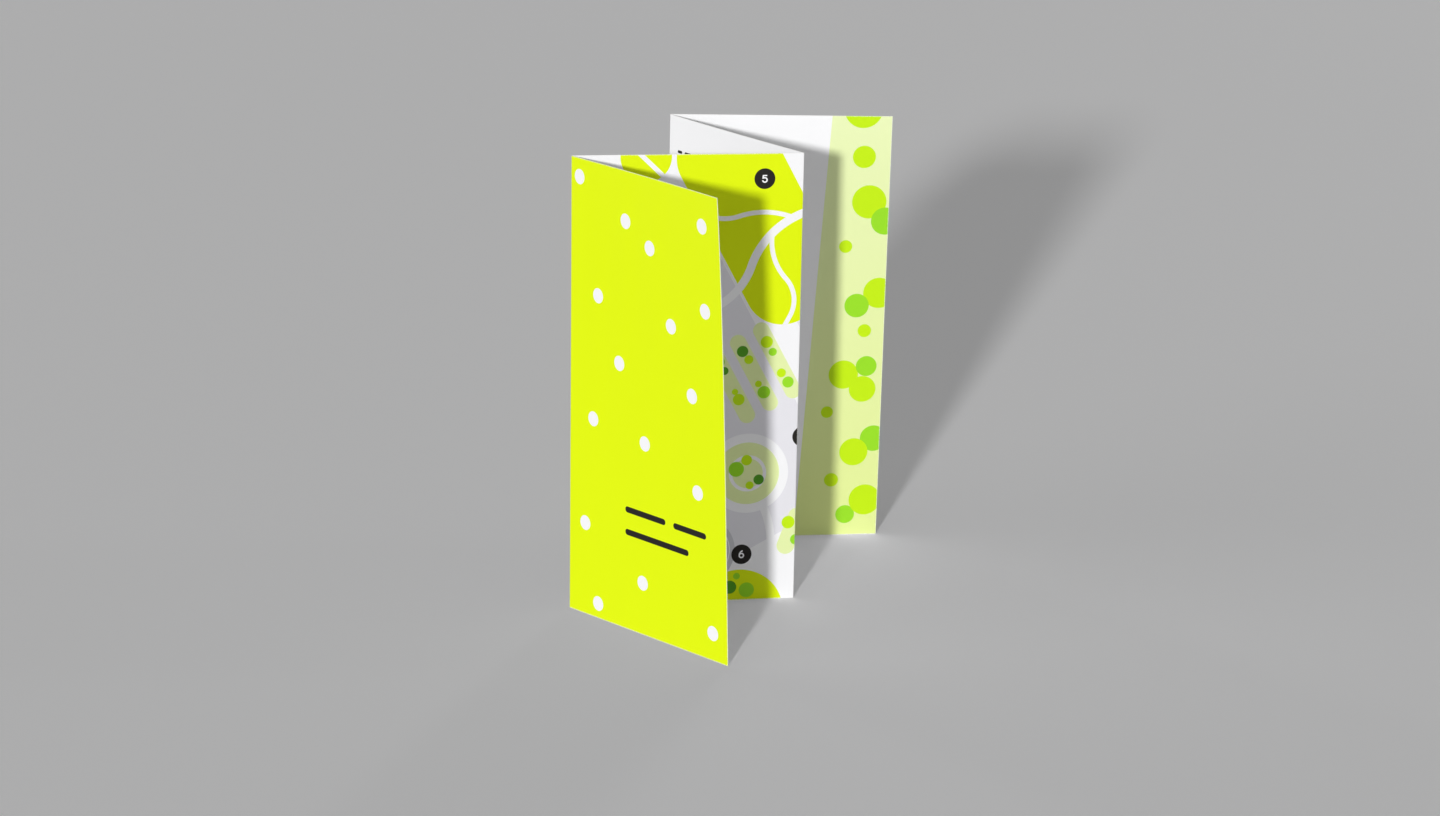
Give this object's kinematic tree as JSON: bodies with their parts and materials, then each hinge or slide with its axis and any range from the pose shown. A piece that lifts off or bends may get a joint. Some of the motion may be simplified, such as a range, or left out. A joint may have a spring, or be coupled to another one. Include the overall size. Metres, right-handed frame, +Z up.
{
  "type": "accordion-fold brochure",
  "caption": "One printed sheet of paper, folded one way and the other in turn into tall equal panels, standing open in a zigzag on its bottom edge.",
  "frame": {"origin": "middle of the ground that the folded sheet covers, at the level of its bottom edge", "axes": "+Z up, along the folds; the panels follow one another along +Y, the cover first; +X is the side that the first V between the cover and its neighbour opens to"},
  "size_m": [0.0948, 0.2032, 0.2],
  "materials": {
    "printed_paper": "smooth coated paper with a soft sheen"
  },
  "bodies": {
    "root": {"folded_sheet": "printed_paper"}
  },
  "joints": []
}
